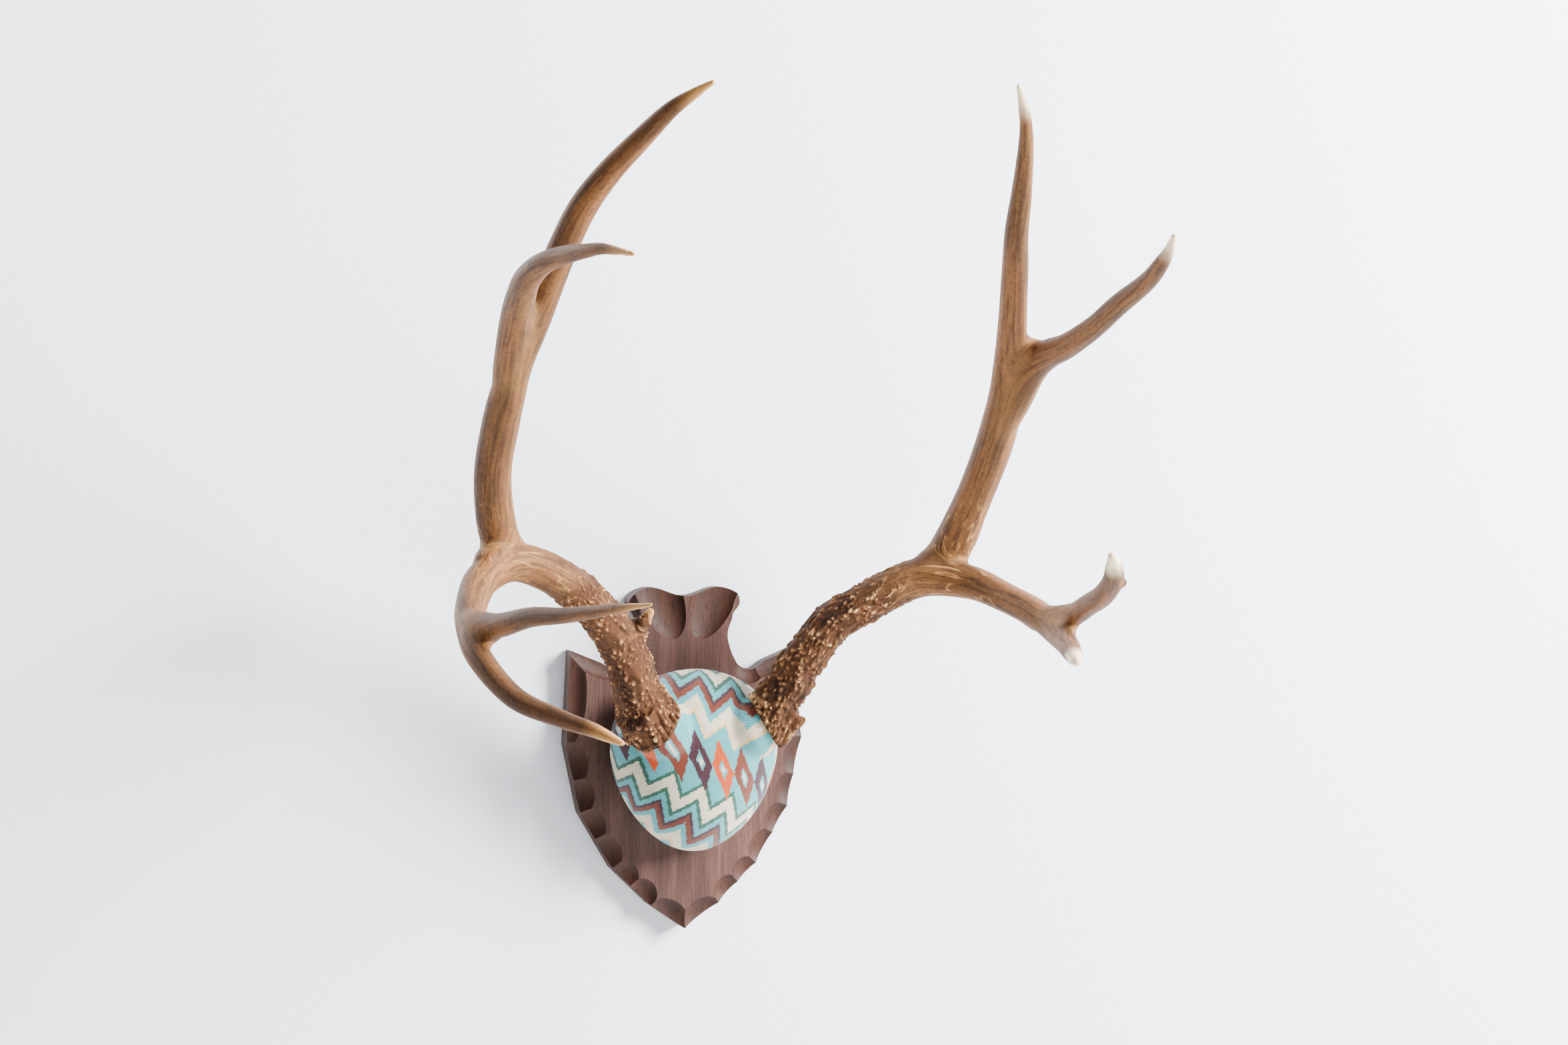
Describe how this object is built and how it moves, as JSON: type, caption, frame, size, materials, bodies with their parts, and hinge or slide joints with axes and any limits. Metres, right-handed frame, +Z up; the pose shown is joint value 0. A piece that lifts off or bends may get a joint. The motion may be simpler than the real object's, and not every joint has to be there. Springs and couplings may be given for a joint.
{
  "type": "deer antler trophy mount",
  "caption": "Wall-hung deer antler mount: a pair of forked antlers on a cloth-covered skull cap, fixed to a scooped wooden shield.",
  "frame": {"origin": "middle of the shield's flat back face, which lies against the wall", "axes": "+Y into the wall, +Z up, +X to the viewer's right; the antlers stand out towards -Y"},
  "size_m": [0.4363, 0.4791, 0.5918],
  "materials": {
    "walnut": "satin oiled walnut, darker in the scoops",
    "blanket_wool": "matt woven wool with a geometric pattern",
    "antler": "antler bone, rough and dark at the burrs, polished at the tines"
  },
  "bodies": {
    "root": {"plaque": "walnut", "skull_cap": "blanket_wool", "left_antler": "antler", "right_antler": "antler"}
  },
  "joints": []
}
